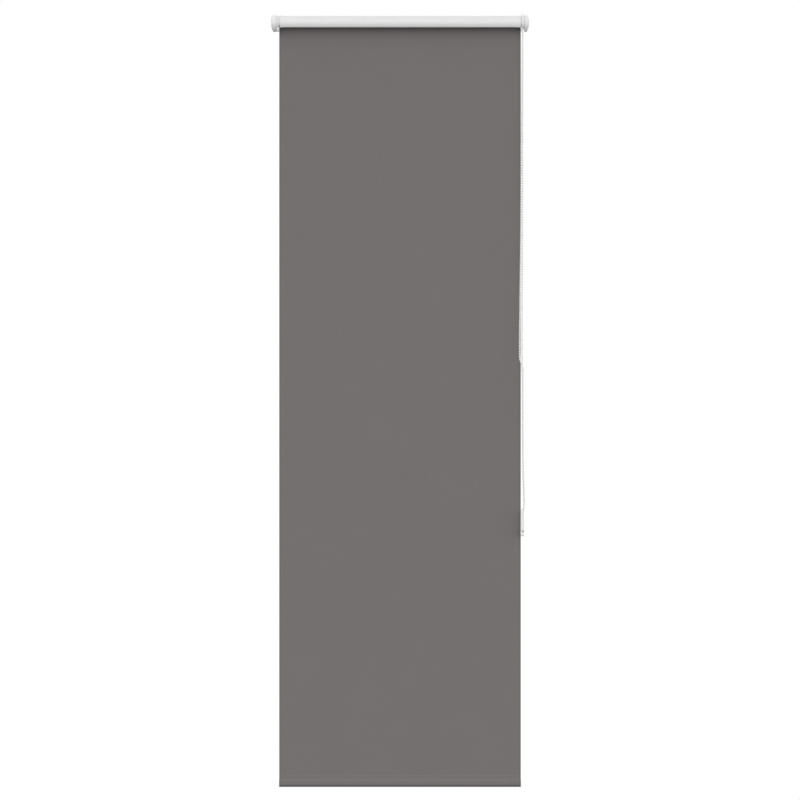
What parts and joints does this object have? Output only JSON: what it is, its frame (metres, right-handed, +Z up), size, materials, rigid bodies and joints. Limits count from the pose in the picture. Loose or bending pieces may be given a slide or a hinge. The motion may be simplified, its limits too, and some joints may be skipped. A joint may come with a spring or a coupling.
{
  "type": "roller blind",
  "caption": "Cassette roller blind: grey blackout cloth with a bar in its hem, on a sprung roller worked by a bead chain loop with a tensioner, on two wall brackets.",
  "frame": {"origin": "middle of the four wall screw holes, on the wall face of the brackets, level with the roll's axis", "axes": "+Z up, +Y into the wall, +X along the roll towards the bead chain; the front faces -Y"},
  "size_m": [0.597, 0.044, 1.7883],
  "materials": {
    "white_plastic": "moulded white plastic, fine texture",
    "cap_plastic": "satin white moulding",
    "cover_white": "satin white extruded cover",
    "chain_white": "white moulded beads and fittings",
    "grey_plastic": "grey moulded plastic",
    "grey_cloth": "plain weave blackout polyester, matt",
    "tube_aluminium": "mill finish extrusion",
    "spring_steel": "bright spring steel"
  },
  "bodies": {
    "headrail": {"left_bracket": "white_plastic", "right_bracket": "white_plastic", "left_end_cap": "cap_plastic", "right_end_cap": "cap_plastic", "left_cover_holder": "cap_plastic", "right_cover_holder": "cap_plastic", "cassette_cover": "cover_white", "clutch_post": "white_plastic", "clutch_spring_inner": "spring_steel", "clutch_spring_outer": "spring_steel", "clutch_clip": "spring_steel", "cloth_panel": "grey_cloth"},
    "roller": {"roller_tube": "tube_aluminium", "cloth_spline": "grey_plastic", "cloth_roll": "grey_cloth", "drive_hub": "white_plastic", "chain_wheel": "white_plastic", "idle_plug": "white_plastic", "idle_plug_stopper": "white_plastic", "idle_spring": "spring_steel"},
    "idle_pin": {"idle_pin": "white_plastic"},
    "bottom_rail": {"bottom_hem": "grey_cloth", "bottom_bar": "tube_aluminium", "left_bar_cap": "grey_plastic", "right_bar_cap": "grey_plastic"},
    "pull_chain": {"bead_chain": "chain_white", "chain_connector": "chain_white", "tensioner_left_half": "chain_white", "tensioner_right_half": "chain_white", "tensioner_axle": "spring_steel", "tensioner_foot": "chain_white"},
    "tensioner_wheel": {"tensioner_wheel": "chain_white"}
  },
  "joints": [
    {"name": "roller_turn", "type": "hinge", "parent": "headrail", "child": "roller", "pos_m": [0, -0.024, 0], "axis": [1, 0, 0], "range_deg": [0, 8096]},
    {"name": "blind_lift", "type": "slide", "parent": "headrail", "child": "bottom_rail", "axis": [0, 0, 1], "range_m": [0, 1.704], "deforming": ["cloth_panel"]},
    {"name": "idle_pin_slide", "type": "slide", "parent": "roller", "child": "idle_pin", "axis": [1, 0, 0], "range_m": [0, 0.006], "stiffness_N_per_m": 300, "springref_m": -0.008, "deforming": ["idle_spring"]},
    {"name": "chain_swing", "type": "hinge", "parent": "headrail", "child": "pull_chain", "pos_m": [0.2836, -0.024, 0], "axis": [-1, 0, 0], "range_deg": [-0.4, 5]},
    {"name": "tensioner_wheel_turn", "type": "hinge", "parent": "pull_chain", "child": "tensioner_wheel", "pos_m": [0.2835, -0.024, -1.152], "axis": [1, 0, 0], "range_deg": [0, 8096]}
  ],
  "couplings": [
    {"joint": "roller_turn", "follows": "blind_lift", "rad_per_m": 82.913},
    {"joint": "tensioner_wheel_turn", "follows": "blind_lift", "rad_per_m": 82.913}
  ]
}
